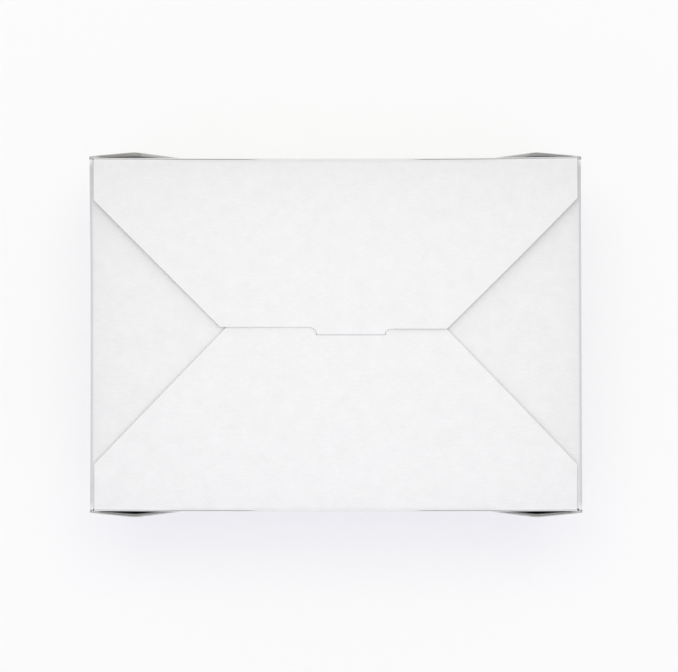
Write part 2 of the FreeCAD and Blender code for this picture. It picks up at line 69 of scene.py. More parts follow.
def fibre_group():
    """Pressed fibre's clouds and tooth, and the crease marks: a crease's fuzz, painted shade and
    light.
    """
    group = bpy.data.node_groups.new("Fibre", "ShaderNodeTree")
    face = group.interface
    face.new_socket("Color", in_out="INPUT", socket_type="NodeSocketColor")
    face.new_socket("Mottle", in_out="INPUT", socket_type="NodeSocketFloat")
    face.new_socket("Crease shade", in_out="INPUT", socket_type="NodeSocketFloat")
    face.new_socket("Color", in_out="OUTPUT", socket_type="NodeSocketColor")
    face.new_socket("Height", in_out="OUTPUT", socket_type="NodeSocketFloat")
    given = add_node(group, "NodeGroupInput", (-1100, 0))
    made = add_node(group, "NodeGroupOutput", (700, 0))
    place = add_node(group, "ShaderNodeTexCoord", (-1100, -300))
    clouds = add_node(group, "ShaderNodeTexNoise", (-850, 200))
    clouds.inputs["Scale"].default_value = 140
    clouds.inputs["Detail"].default_value = 5
    clouds.inputs["Roughness"].default_value = 0.65
    tooth = add_node(group, "ShaderNodeTexNoise", (-850, -80))
    tooth.inputs["Scale"].default_value = 1900
    tooth.inputs["Detail"].default_value = 3
    along = add_node(group, "ShaderNodeMapping", (-1000, -400))
    along.inputs["Scale"].default_value = (320, 2600, 2600)
    strands = add_node(group, "ShaderNodeTexNoise", (-850, -400))
    strands.inputs["Scale"].default_value = 1
    strands.inputs["Detail"].default_value = 2
    group.links.new(place.outputs["Object"], clouds.inputs["Vector"])
    group.links.new(place.outputs["Object"], tooth.inputs["Vector"])
    group.links.new(place.outputs["Object"], along.inputs["Vector"])
    group.links.new(along.outputs["Vector"], strands.inputs["Vector"])
    # all three patterns added up, as a height
    both = add_node(group, "ShaderNodeMath", (-600, 0), operation="ADD")
    group.links.new(clouds.outputs["Fac"], both.inputs[0])
    group.links.new(tooth.outputs["Fac"], both.inputs[1])
    height = add_node(group, "ShaderNodeMath", (-420, -150), operation="MULTIPLY_ADD")
    group.links.new(strands.outputs["Fac"], height.inputs[0])
    height.inputs[1].default_value = STRAND_SHARE
    group.links.new(both.outputs[0], height.inputs[2])
    group.links.new(height.outputs[0], made.inputs["Height"])
    # the same, centred on one, as a faint change of brightness
    centred = add_node(group, "ShaderNodeMath", (-230, 60), operation="SUBTRACT")
    group.links.new(height.outputs[0], centred.inputs[0])
    centred.inputs[1].default_value = FIBRE_MEAN
    shade = add_node(group, "ShaderNodeMath", (-60, 60), operation="MULTIPLY_ADD")
    group.links.new(centred.outputs[0], shade.inputs[0])
    group.links.new(given.outputs["Mottle"], shade.inputs[1])
    shade.inputs[2].default_value = 1
    # less what the crease marks take off: a crease's wear, and painted shade (painted light if
    # negative)
    crease = add_node(group, "ShaderNodeAttribute", (-230, -300), attribute_name="crease")
    wear_and_painted_light = add_node(group, "ShaderNodeMath", (-60, -200), operation="MULTIPLY")
    group.links.new(crease.outputs["Fac"], wear_and_painted_light.inputs[0])
    group.links.new(given.outputs["Crease shade"], wear_and_painted_light.inputs[1])
    dimmed = add_node(group, "ShaderNodeMath", (120, -20), operation="SUBTRACT")
    group.links.new(shade.outputs[0], dimmed.inputs[0])
    group.links.new(wear_and_painted_light.outputs[0], dimmed.inputs[1])
    tinted = add_node(group, "ShaderNodeVectorMath", (420, 60), operation="SCALE")
    group.links.new(given.outputs["Color"], tinted.inputs[0])
    group.links.new(dimmed.outputs[0], tinted.inputs["Scale"])
    group.links.new(tinted.outputs["Vector"], made.inputs["Color"])
    return group


fibre = fibre_group()


def board_material(name, color, mottle, crease_shade, roughness, sheen, relief):
    """One finish of the board; relief is the depth of its tooth in metres."""
    material = bpy.data.materials.new(name)
    material.use_nodes = True
    tree = material.node_tree
    shader = tree.nodes["Principled BSDF"]
    pattern = add_node(tree, "ShaderNodeGroup", (-500, 100), node_tree=fibre)
    pattern.inputs["Color"].default_value = color
    pattern.inputs["Mottle"].default_value = mottle
    pattern.inputs["Crease shade"].default_value = crease_shade
    bump = add_node(tree, "ShaderNodeBump", (-250, -200))
    bump.inputs["Strength"].default_value = 1
    bump.inputs["Distance"].default_value = relief
    tree.links.new(pattern.outputs["Color"], shader.inputs["Base Color"])
    tree.links.new(pattern.outputs["Height"], bump.inputs["Height"])
    tree.links.new(bump.outputs["Normal"], shader.inputs["Normal"])
    shader.inputs["Roughness"].default_value = roughness
    shader.inputs["Specular IOR Level"].default_value = sheen
    return material


outside = board_material(
    "Board outside", OUTSIDE_WHITE,
    mottle=0.1, crease_shade=0.045, roughness=0.68, sheen=0.25, relief=0.000012,
)
coated = board_material(
    "Board coated inside", COATED_WHITE,
    mottle=0.01, crease_shade=0.02, roughness=0.42, sheen=0.4, relief=0.000006,
)
# the cut edges: raw fibre and painted shade, with deeper painted shade where the marks are
raw_edge_and_shade = board_material(
    "Board cut edge", RAW_EDGE_AND_SHADE,
    mottle=0.05, crease_shade=0.12, roughness=0.85, sheen=0.1, relief=0.00003,
)


# The tray
# The bottom and the four walls of the sheet, which lean out so that trays nest. The walls
# turn up from the bottom in round folds, and the board's middle layer is laid out here.

BOARD = 0.45
FOLD = 0.26                   # radius of a fold, at the middle of the board
END_FOLD = 0.95               # the end flaps' folds are rounder
BASE_LENGTH = 197.0
BASE_WIDTH = 139.0
HEIGHT = 63.5
END_TOP = 62.2                # top of the end flaps
GUSSET_TOP = 61.9             # the highest level of the gussets' cut edges
END_LEAN = 9.7 / HEIGHT
LONG_LEAN = 8.3 / HEIGHT
END_HALF = BOARD * math.hypot(1, END_LEAN) / 2      # half a leaning wall, measured level
LONG_HALF = BOARD * math.hypot(1, LONG_LEAN) / 2
END_INSET = 0.4               # from the long walls' faces to the cut sides of an end flap
LONG_INSET = 1.35             # from the end walls' faces to the cut sides of a long flap
STRAIGHT = 34.0               # out to here, fold after fold, the lengthwise columns stay parallel
SLIT_ENDS = (-8.55, 21.95)    # the front flap's slit, which every row has points for
BOTTOM_WEAR = 1.0             # crease wear of the folds round the bottom

board_points = []
board_faces = []


def lay(grid, patch_marks=0.0):
    """Lay a patch of board: rows of points that run so that its outside faces outwards."""
    grid = np.asarray(grid, float)
    rows, columns = grid.shape[:2]
    wear_and_painted_light = np.broadcast_to(np.asarray(patch_marks, float), (rows, columns))
    first = len(board_points)
    board_points.extend(np.dstack([grid, wear_and_painted_light]).reshape(-1, 4))
    for row in range(rows - 1):
        for column in range(columns - 1):
            here = first + row * columns + column
            board_faces.append((here, here + 1, here + columns + 1, here + columns))


def folded_up(base, lean, half, level):
    """How far out the middle of a wall is at a level, the round bottom fold with it."""
    wall = base / 2 + lean * level - half
    turn = math.pi / 2 - math.atan(lean)
    start = base / 2 + lean * BOARD / 2 - half - FOLD * math.tan(turn / 2)
    drop = np.clip(BOARD / 2 + FOLD - level, 0, FOLD)
    round_part = start + np.sqrt(FOLD ** 2 - drop ** 2)
    end_level = BOARD / 2 + FOLD * (1 - math.cos(turn))
    return np.where(level < end_level, round_part, wall)


def end_mid(level):
    return folded_up(BASE_LENGTH, END_LEAN, END_HALF, level)


def long_mid(level):
    return folded_up(BASE_WIDTH, LONG_LEAN, LONG_HALF, level)


def end_face(level):
    return BASE_LENGTH / 2 + END_LEAN * level


def long_face(level):
    return BASE_WIDTH / 2 + LONG_LEAN * level


def fold_over(middle, lean, top, radius=FOLD, steps=9):
    """The round fold from a leaning wall into a level flap: how far out, and how high."""
    turned = math.atan(lean)
    reach = radius * math.tan((math.pi / 2 + turned) / 2)
    height = top - BOARD / 2
    across = middle(height) - reach
    angles = np.linspace(-turned, math.pi / 2, steps)
    return across + radius * np.cos(angles), height - radius + radius * np.sin(angles)


turn_up = math.pi / 2 - math.atan(LONG_LEAN)
fold_levels = BOARD / 2 + FOLD * (1 - np.cos(np.linspace(0, turn_up, 7)))
WALL_START = fold_levels[-1]
END_FOLD_START = fold_over(end_mid, END_LEAN, END_TOP, END_FOLD)[1][0]
wall_levels = np.array(
    [WALL_START, 1.1, 1.8, 2.8, 4, 6, 8, 11, 15, 20, 26, 32, 38, 44, 50, 55, 58.5, 60.5,
     END_FOLD_START, GUSSET_TOP]
)

# columns of points: along X the straight ones and, past them, shares of the way out to the
# side; along Y shares of half the width
outer_shares = np.linspace(0, 1, 14)[1:]
inner_places = np.unique(np.r_[np.linspace(-STRAIGHT, STRAIGHT, 25), SLIT_ENDS])
side_shares = np.linspace(-1, 1, 45)


def long_columns(side):
    """Places along X of a row that ends at this distance on both sides."""
    out = STRAIGHT + outer_shares * (side - STRAIGHT)
    return np.r_[-out[::-1], inner_places, out]


def along_fold(rows, wear_and_painted_light):
    """Marks of a fold's rows, wear and any painted shade: none in the first and last, which the
    flat board shares.
    """
    marks = np.full((len(rows), len(rows[0])), wear_and_painted_light)
    marks[[0, -1]] = 0
    return marks


def turned_round(grid):
    """The same patch on the other side of the box."""
    return np.asarray(grid) * (-1, -1, 1)


# the bottom, seen from below, with the fold rows round it
bottom_side = end_face(WALL_START) - LONG_INSET
bottom_end = long_face(WALL_START) - END_INSET
lengthwise = long_columns(bottom_side)
crosswise = bottom_end * side_shares
corner_x, corner_y = end_mid(fold_levels), long_mid(fold_levels)
bottom_x = np.r_[-corner_x[0], lengthwise, corner_x[0]]
bottom_y = np.r_[-corner_y[0], crosswise, corner_y[0]][::-1]
lay([[(x, y, BOARD / 2) for x in bottom_x] for y in bottom_y])
long_fold = [
    [(x, -y, z) for x in np.r_[-half, lengthwise, half]]
    for half, y, z in zip(corner_x, corner_y, fold_levels)
]
end_fold = [
    [(x, y, z) for y in np.r_[-half, crosswise, half]]
    for half, x, z in zip(corner_y, corner_x, fold_levels)
]
for patch in (long_fold, end_fold):
    lay(patch, along_fold(patch, BOTTOM_WEAR))
    lay(turned_round(patch), along_fold(patch, BOTTOM_WEAR))

# the long walls and the end walls, up to the top of the gussets
long_wall = [
    [(x, -long_mid(z), z) for x in long_columns(end_face(z) - LONG_INSET)] for z in wall_levels
]
end_wall = [
    [(end_mid(z), (long_face(z) - END_INSET) * share, z) for share in side_shares]
    for z in wall_levels[:-1]
]
lay(long_wall)
lay(turned_round(long_wall))
lay(end_wall)
lay(turned_round(end_wall))


# The end flaps
# They fold in first, from the tops of the end walls, and taper to blunt round tips. The
# other two flaps lie on them.

END_TIP = 41.0
END_TIP_HALF = 23.0
END_TIP_ROUND = 9.0
END_STRAIGHT = 14.0           # out to here the columns of an end flap stay parallel
END_SAG = 0.45                # how far an end flap dips between its fold and its tip
SAG_EARLY = 0.6               # under one, it dips most in its outer half
END_WEAR_AND_SHADE = 4.0                # crease wear of an end flap's fold, with painted shade on the strip beside the lid

end_fold_x, end_fold_z = fold_over(end_mid, END_LEAN, END_TOP, END_FOLD)
end_root = end_fold_x[-1]
end_side = long_face(END_TOP - BOARD / 2) - END_INSET
end_taper = (end_side - END_TIP_HALF) / (end_root - END_TIP)


def rounded_half(from_tip, tip_half, taper, radius):
    """Half the width of a tapering flap at this distance from its tip, with round corners."""
    plain = tip_half + taper * from_tip
    cut = radius * math.tan((math.pi / 2 - math.atan(taper)) / 2)
    low = np.clip(radius - from_tip, 0, radius)
    rounded = tip_half - cut + np.sqrt(radius ** 2 - low ** 2)
    reach = cut * math.cos(math.atan(1 / taper))
    return np.where(from_tip < reach, np.minimum(plain, rounded), plain)


def end_columns(half):
    """Places along Y of one row: the middle ones stay parallel, the outer ones taper."""
    places = side_shares * end_side
    share = (np.abs(places) - END_STRAIGHT) / (end_side - END_STRAIGHT)
    tapered = np.sign(places) * (END_STRAIGHT + share * (half - END_STRAIGHT))
    return np.where(share > 0, tapered, places)


end_rows = np.r_[
    end_root, np.linspace(end_root - 0.4, END_TIP + 6, 30), END_TIP + 4.5, END_TIP + 3,
    END_TIP + 1.8, END_TIP + 0.9, END_TIP + 0.3, END_TIP,
]
end_strip = [
    [(x, (long_face(z) - END_INSET) * share, z) for share in side_shares]
    for x, z in zip(end_fold_x, end_fold_z)
]
end_flap = []
for x in end_rows:
    inwards = min(max((end_root - x) / (end_root - END_TIP), 0), 1)
    level = END_TOP - BOARD / 2 - END_SAG * math.sin(math.pi * inwards ** SAG_EARLY)
    half = rounded_half(x - END_TIP, END_TIP_HALF, end_taper, END_TIP_ROUND)
    end_flap.append([(x, y, level) for y in end_columns(half)])
# the fold's strip and the flap's first row: wear with painted shade
end_strip_wear_and_shade = along_fold(end_strip, END_WEAR_AND_SHADE)
end_flap_wear_and_shade = np.zeros((len(end_flap), len(side_shares)))
end_strip_wear_and_shade[-1] = end_flap_wear_and_shade[0] = END_WEAR_AND_SHADE / 3
for patch, wear_and_painted_light in ((end_strip, end_strip_wear_and_shade), (end_flap, end_flap_wear_and_shade)):
    lay(patch, wear_and_painted_light)
    lay(turned_round(patch), wear_and_painted_light)


# The front flap
# It folds in from the front wall, over the end flaps, and its tip tucks in under the locking
# flap. A slit that is die-cut across it takes the locking flap's tab.

FRONT_TOP = 62.85
FRONT_STRAIGHT = -57.0        # the straight sides end here
FRONT_TIP = 14.05
FRONT_TIP_HALF = 38.2
FRONT_ROUND = 7.0
SLIT = (-0.03, 0.62)          # front and back edge of the slit
FLAP_SIDE = end_face(HEIGHT) - LONG_INSET
FOLD_STRIP_AT = np.array([0, 0.5, 1.1, 1.7, 2.3])      # rows across the strip beside a fold, marked with wear and painted shade
# a fold's rows: crease wear, and painted shade that widens the fold's dark band
FOLD_WEAR_AND_SHADE = np.array([1.3, 1.4, 0.7, 0.1, 0])
FREE_FOLD = 74.0              # out to here no gusset lies outside a long wall's fold
MARK_FADE = 6.0               # over this far inside of that, the fold's wear and painted shade fade in
FLAP_LIGHT_BY_GUSSET = -0.4             # beside a gusset, painted light: the flap lighter than plain board
# and painted light on the fold itself beside a gusset, against its shade there
FOLD_LIGHT_BY_GUSSET = -2.0
PAINTED_GAP_SHADE = 5.0                # painted shade for a dark gap

front_fold_y, front_fold_z = fold_over(long_mid, LONG_LEAN, FRONT_TOP)
front_taper = (FLAP_SIDE - FRONT_TIP_HALF) / (FRONT_TIP - FRONT_STRAIGHT)


def fade_in(rows, at_gussets):
    """A long fold's marks: full in the middle, less at the gussets, painted light where below
    nought.
    """
    return np.clip((FREE_FOLD - np.abs(np.array(rows)[:, :, 0])) / MARK_FADE, at_gussets, 1)


def fold_wear_and_shade(rows):
    """Crease wear and painted shade of a long flap's rows from its fold; painted light by gussets.
    """
    wear_and_painted_light = np.zeros((len(rows), len(rows[0])))
    wear_and_painted_light[:len(FOLD_WEAR_AND_SHADE)] = np.outer(FOLD_WEAR_AND_SHADE, fade_in(rows[:1], FLAP_LIGHT_BY_GUSSET)[0])
    return wear_and_painted_light


def front_flap_half(y):
    """Half the width of the front flap, its round corners included."""
    if y <= FRONT_STRAIGHT:
        return FLAP_SIDE
    return rounded_half(FRONT_TIP - y, FRONT_TIP_HALF, front_taper, FRONT_ROUND)


front_rows = np.r_[
    -front_fold_y[-1] + FOLD_STRIP_AT, np.linspace(-72, FRONT_STRAIGHT, 6),
    np.linspace(FRONT_STRAIGHT, -4, 20)[1:],
    -2, -0.8, SLIT, 1.6, 3, 5, 7, 9, 10.5, 11.6, 12.5, 13.2, 13.75, FRONT_TIP,
]
front_strip = [
    [(x, -y, z) for x in long_columns(end_face(z) - LONG_INSET)]
    for y, z in [(long_mid(GUSSET_TOP), GUSSET_TOP), *zip(front_fold_y, front_fold_z)]
]
front_flap = [
    [(x, y, FRONT_TOP - BOARD / 2) for x in long_columns(front_flap_half(y))] for y in front_rows
]
# the fold's wear, with painted light on it beside the gussets
front_strip_wear_light_shade = fade_in(front_strip, FOLD_LIGHT_BY_GUSSET)
front_strip_wear_light_shade[0] = 0
# beside a gusset the lowest rows of the fold lie in the dark gap between the two: painted shade
low_rows = front_strip_wear_light_shade[1:4]
low_rows[low_rows < 0] = PAINTED_GAP_SHADE
lay(front_strip, front_strip_wear_light_shade)
flap_start = len(board_faces)
lay(front_flap, fold_wear_and_shade(front_flap))
flap_faces = board_faces[flap_start:]
del board_faces[flap_start:]
for face in flap_faces:
    centre = np.mean([board_points[index] for index in face], axis=0)
    in_slit = SLIT_ENDS[0] < centre[0] < SLIT_ENDS[1] and SLIT[0] < centre[1] < SLIT[1]
    if not in_slit:
        board_faces.append(face)


# The corner gussets
# At each corner the end wall's board runs round as an outer ply, turns back at a diagonal
# crease and comes back as an inner ply to the long wall's end. The plies spring off a little.

REACH = 46.4 / HEIGHT         # how far along the diagonal crease gets, per height
TOP_SLOPE = 0.545             # fall of the cut edge past the ridge
RIDGE_SHARE = 0.44            # where the soft ridge is, from the corner to the diagonal crease
RIDGE_ROUND = 0.2             # how soft it is, as a share of the way up to it
RIDGE_FALL = 0.13             # share of the spring that is lost from it to the diagonal crease
RIDGE_RISE = 2.0              # how far it springs off the wall, at the height of the lid
PLY_STEP = 0.48               # from the middle of one ply to the middle of the next
TURN = 0.24                   # radius of the turns between them, at the middle of the board
WALL_END = 0.88               # from the end wall's face to the long wall's end turn
INNER_LAG = 0.08              # share of the outer ply's spring that the inner ply lacks
GAP_DARK = 3.0                # this far down, the gap behind the plies is in full shade
OPEN_LEVEL = 6.0              # below this the plies run together towards the bottom corner
PLY_WEAR = {"corner fold": 1.0, "crease": 1.0, "end turn": 1.0}
INNER_PLY_SHADE = 1.1              # painted shade of the inner ply at its cut edge, a value that marks this ply
DEEP_SHADE = 0.9               # and how much more painted shade is added in full shade


def gusset_top(share):
    """Level of the cut edge: flat out to the ridge, falling past it."""
    ridge = REACH * (GUSSET_TOP - WALL_START) * RIDGE_SHARE
    lean = REACH * share - END_LEAN
    fallen = GUSSET_TOP + TOP_SLOPE * (ridge - END_LEAN * GUSSET_TOP)
    return min(GUSSET_TOP, fallen / (1 + TOP_SLOPE * lean))


def gusset_columns():
    """Each column of points as (part of the section, its place in that part, share inwards)."""
    yield ("end wall", -END_INSET, 0)
    yield from (("corner fold", angle, 0) for angle in np.linspace(0, math.pi / 2, 6))
    yield from (("outer ply", share, share) for share in np.linspace(0, 1, 22)[1:-1])
    yield from (("crease", angle, 1) for angle in np.linspace(0, math.pi, 8))
    yield from (("inner ply", share, share) for share in np.linspace(1, 0, 22)[1:-1])
    yield from (("end turn", angle, 0) for angle in np.linspace(0, math.pi, 8))
    yield ("long wall", LONG_INSET, 0)


def eased(share):
    """The same share from 0 to 1, with a soft start and end."""
    return share * share * (3 - 2 * share)


def gusset_point(part, place, level):
    """Inwards from the end wall's face and outwards from the long wall's face."""
    opened = eased(min(max((level - WALL_START) / OPEN_LEVEL, 0), 1))
    corner = FOLD * opened
    turn = TURN * opened
    first = END_HALF + corner
    last = END_HALF + REACH * (level - WALL_START) - turn
    back = END_HALF + (WALL_END + TURN - END_HALF) * opened
    step = PLY_STEP * opened
    if part == "end wall":
        return END_HALF, place
    if part == "corner fold":
        out = -LONG_HALF + 2 * step - corner
        return first - corner * math.cos(place), out + corner * math.sin(place)
    if part == "outer ply":
        return first + (last - first) * place, -LONG_HALF + 2 * step
    if part == "crease":
        return last + turn * math.sin(place), -LONG_HALF + 1.5 * step + turn * math.cos(place)
    if part == "inner ply":
        return back + (last - back) * place, -LONG_HALF + step
    if part == "end turn":
        return back - turn * math.sin(place), -LONG_HALF + step / 2 + turn * math.cos(place)
    return place, -LONG_HALF


def spring_share(part, share):
    """How much of the gusset's spring a point takes: rising to the ridge, then nearly level."""
    rising = share / RIDGE_SHARE
    soft = max(RIDGE_ROUND - abs(rising - 1), 0) ** 2 / (4 * RIDGE_ROUND)
    past = max(share - RIDGE_SHARE, 0) / (1 - RIDGE_SHARE)
    spring = (min(rising, 1) - soft) * (1 - RIDGE_FALL * past)
    return spring * (1 - INNER_LAG * (1 - past)) if part == "inner ply" else spring


gusset_grid, gusset_wear_and_shade = [], []
columns = list(gusset_columns())
for base_level in wall_levels:
    row = []
    for part, place, share in columns:
        climb = (base_level - WALL_START) / (GUSSET_TOP - WALL_START)
        level = WALL_START + climb * (gusset_top(share) - WALL_START)
        inwards, outwards = gusset_point(part, place, level)
        row.append((end_face(level) - inwards, long_face(level) + outwards, level))
        # the inner ply lies in the gap behind the outer one: painted shade, deepening downwards
        deep = min((gusset_top(share) - level) / GAP_DARK, 1)
        shaded = INNER_PLY_SHADE + DEEP_SHADE * deep
        gusset_wear_and_shade.append(shaded if part == "inner ply" else PLY_WEAR.get(part, 0.0))
    gusset_grid.append(row)
gusset_spring = np.tile([spring_share(part, share) for part, _, share in columns],
                        len(wall_levels))


def flat_mesh(name, points, faces, wear_and_painted_light):
    """A mesh in metres, with its crease marks as an attribute: wear, painted shade and painted
    light.
    """
    mesh = bpy.data.meshes.new(name)
    mesh.from_pydata([tuple(point) for point in np.asarray(points) * 0.001], [], faces)
    mesh.attributes.new("crease", "FLOAT", "POINT").data.foreach_set("value", wear_and_painted_light)
    return mesh


def quads(rows, count):
    """The faces between rows of this many points."""
    return [
        (row * count + column, row * count + column + 1,
         (row + 1) * count + column + 1, (row + 1) * count + column)
        for row in range(rows - 1) for column in range(count - 1)
    ]


gusset_mesh = flat_mesh(
    "corner_gusset",
    np.asarray(gusset_grid).reshape(-1, 3),
    quads(len(wall_levels), len(columns)),
    gusset_wear_and_shade,
)
gusset_mesh.attributes.new("spring", "FLOAT", "POINT").data.foreach_set("value", gusset_spring)
gussets = bpy.data.objects.new("corner_gussets", gusset_mesh)
bpy.context.scene.collection.objects.link(gussets)


def gusset_tree():
    """Springs the plies of one gusset off the wall, and sets it at all four corners."""
    tree = bpy.data.node_groups.new("Corner gussets", "GeometryNodeTree")
    face = tree.interface
    face.new_socket("Geometry", in_out="INPUT", socket_type="NodeSocketGeometry")
    for name in ("Ridge rise", "Box height"):
        face.new_socket(name, in_out="INPUT", socket_type="NodeSocketFloat")
    face.new_socket("Board", in_out="INPUT", socket_type="NodeSocketMaterial")
    face.new_socket("Geometry", in_out="OUTPUT", socket_type="NodeSocketGeometry")
    given = add_node(tree, "NodeGroupInput", (-1200, 0))
    made = add_node(tree, "NodeGroupOutput", (1300, 0))

    def math_node(operation, place, *values):
        node = add_node(tree, "ShaderNodeMath", place, operation=operation)
        for socket, value in zip(node.inputs, values):
            tree.links.new(value, socket)
        return node.outputs[0]

    spring = add_node(tree, "GeometryNodeInputNamedAttribute", (-1000, -200), data_type="FLOAT")
    spring.inputs["Name"].default_value = "spring"
    position = add_node(tree, "GeometryNodeInputPosition", (-1200, -450))
    split = add_node(tree, "ShaderNodeSeparateXYZ", (-1000, -450))
    tree.links.new(position.outputs[0], split.inputs[0])
    share = math_node("DIVIDE", (-800, -450), split.outputs["Z"], given.outputs["Box height"])
    rise = math_node("MULTIPLY", (-620, -400), share, given.outputs["Ridge rise"])
    push = add_node(tree, "ShaderNodeCombineXYZ", (-150, -250))
    tree.links.new(math_node("MULTIPLY", (-300, -250), spring.outputs[0], rise), push.inputs["Y"])
    sprung = add_node(tree, "GeometryNodeSetPosition", (0, 0))
    tree.links.new(given.outputs["Geometry"], sprung.inputs["Geometry"])
    tree.links.new(push.outputs[0], sprung.inputs["Offset"])
    corner = sprung.outputs["Geometry"]
    for step, turn in enumerate(((-1, 1, 1), (1, -1, 1))):
        over = add_node(tree, "GeometryNodeTransform", (200 + 450 * step, -150))
        over.inputs["Scale"].default_value = turn
        flip = add_node(tree, "GeometryNodeFlipFaces", (350 + 450 * step, -150))
        pair = add_node(tree, "GeometryNodeJoinGeometry", (500 + 450 * step, 0))
        tree.links.new(corner, over.inputs["Geometry"])
        tree.links.new(over.outputs["Geometry"], flip.inputs[0])
        tree.links.new(corner, pair.inputs[0])
        tree.links.new(flip.outputs[0], pair.inputs[0])
        corner = pair.outputs[0]
    real = add_node(tree, "GeometryNodeRealizeInstances", (1000, 0))
    finish = add_node(tree, "GeometryNodeSetMaterial", (1150, 0))
    tree.links.new(corner, real.inputs[0])
    tree.links.new(real.outputs[0], finish.inputs["Geometry"])
    tree.links.new(given.outputs["Board"], finish.inputs["Material"])
    tree.links.new(finish.outputs[0], made.inputs[0])
    return tree


def plain_mesh(piece):
    """The piece as its modifiers leave it, as a mesh of its own; the modifiers go."""
    bpy.context.view_layer.update()
    seen = piece.evaluated_get(bpy.context.evaluated_depsgraph_get())
    mesh = bpy.data.meshes.new_from_object(seen)
    piece.modifiers.clear()
    return mesh


springing = gussets.modifiers.new("springing", "NODES")
springing.node_group = gusset_tree()
sockets = {
    item.name: item.identifier
    for item in springing.node_group.interface.items_tree
    if item.in_out == "INPUT"
}
springing[sockets["Ridge rise"]] = RIDGE_RISE * 0.001
springing[sockets["Box height"]] = HEIGHT * 0.001
springing[sockets["Board"]] = outside
gusset_mesh = plain_mesh(gussets)
bpy.data.objects.remove(gussets)


# The folded sheet
# All the patches above are one die-cut blank, folded and glued at its gussets. They are joined
# where they meet, given the board's thickness and let settle: the rim stands out a little from
# its drawn place, and the walls belly in.

RIM_X, RIM_Y = 0.107, 0.077   # half the rim's length and width, in metres as all in this section
LID_LEVEL = 0.062             # from here up, over the blend, is board of the two long flaps
LID_BLEND = 0.0006
UNDER_LID = 0.0622            # what lies lower is none of theirs
SHADED_FROM = 0.06           # what lies higher gets painted shade towards its rims and on the end flaps
END_RIM_SHADE, FRONT_RIM_SHADE, BACK_RIM_SHADE = 0.75, 0.5, 1.58     # how much so at each rim
GAP_START, GAP_RISE = 2, 22   # painted shade in the front gussets' gaps
CUT_SLANT = 0.00011           # how far the cut edges slant
SAME_PLACE = 2e-6             # points nearer than this are one
SHARP_FROM = 42               # in degrees, the turn that makes an edge sharp
OUTER, INNER, CUT = 0, 1, 2   # the board's material slots


def settled(points):
    """Where the board lies once it is folded and filled, from where its drawing puts it."""
    x, y, z = points[:, 0], points[:, 1], points[:, 2]
    height = np.clip(z / (HEIGHT / 1000), 0, 1)
    belly = np.sin(np.pi * height)
    in_flap = np.clip((z - LID_LEVEL) / LID_BLEND, 0, 1)
    in_tray = 1 - in_flap
    # shares that rise to one at the rim, and along, which falls to nothing at the corners
    out = np.clip(np.abs(x) / RIM_X, 0, 1) ** 2
    along = 1 - np.clip(np.abs(y) / RIM_Y, 0, 1) ** 2
    back = eased(np.clip((y - 0.02) / 0.057, 0, 1))
    front = np.clip((-y - 0.03) / 0.047, 0, 1) ** 2
    right = np.clip((x - 0.03) / 0.077, 0, 1) ** 2
    left = np.clip((-x - 0.03) / 0.077, 0, 1) ** 2
    # how far each rim stands out
    back_out = 0.0001 + 0.00035 * out + 0.0005 * out * (x > 0) * in_flap
    front_out = 0.00061 - 0.00035 * out
    right_out = (0.00098 - 0.0003 * y / RIM_Y) * in_tray
    left_out = (0.00088 + 0.0003 * back - 0.0002 * along) * in_tray + 0.00025 * back * in_flap
    # less how far each wall bellies in
    moved = points.copy()
    moved[:, 1] += (back_out * height - 0.0004 * (1 - out) * belly) * back
    moved[:, 1] -= (front_out * height - 0.0005 * (1 - out) * belly) * front
    moved[:, 0] += (right_out * height - 0.0004 * along * belly) * right
    moved[:, 0] -= (left_out * height - 0.0003 * along * belly) * left
    return moved


def add_painted_shade(places, marks):
    """Adds painted shade to the folds' wear: darker towards the rims and on the end flaps, dark
    gaps.
    """
    x, y, z = places.T
    # painted shade, darker towards each rim and most at the back
    rim_shade = END_RIM_SHADE * np.clip(np.abs(x) / RIM_X, 0, 1) ** 2
    rim_shade += FRONT_RIM_SHADE * np.exp(-(y + RIM_Y) / 0.01) + BACK_RIM_SHADE * np.exp((y - 0.0779) / 0.02)
    # painted shade on the front gussets' inner plies, in their dark gaps
    before_front_wall = -y > 0.0697 + LONG_LEAN * z
    front_inner_ply = before_front_wall & (marks > INNER_PLY_SHADE - 0.05)
    marks += np.where(front_inner_ply, GAP_START + GAP_RISE * (marks - INNER_PLY_SHADE), 0)
    marks += np.where(z > SHADED_FROM, rim_shade, 0)
    # painted shade on the end flaps, which lie under the others, darkest near their folds
    end_flap_shade = 0.6 * np.exp((np.abs(x) - 0.105) / 0.005) + 0.25
    on_end_flap = (z > SHADED_FROM) & (z < UNDER_LID) & (np.abs(y) < RIM_Y)
    marks += np.where(on_end_flap, end_flap_shade, 0)
    at_corner = (np.abs(x) > 0.1052) & (np.abs(y) > 0.0762) & (z < UNDER_LID)
    marks[at_corner] = 0


def slant_cut_edges(mesh):
    """The die leaves the outside a little smaller than the inside, with a slanting raw edge."""
    shape = bmesh.new()
    shape.from_mesh(mesh)
    shape.normal_update()
    for corner in shape.verts:
        cuts = [face.normal for face in corner.link_faces if face.material_index == CUT]
        on_outside = any(face.material_index == OUTER for face in corner.link_faces)
        # where the locking flap meets the back wall, the sheet isn't cut
        on_seam = abs(corner.co.z - GUSSET_TOP * 0.001) < 5e-5 and 0.075 < corner.co.y < 0.0785
        if cuts and on_outside and not on_seam:
            corner.co -= sum(cuts, Vector()).normalized() * CUT_SLANT
    shape.to_mesh(mesh)
    shape.free()


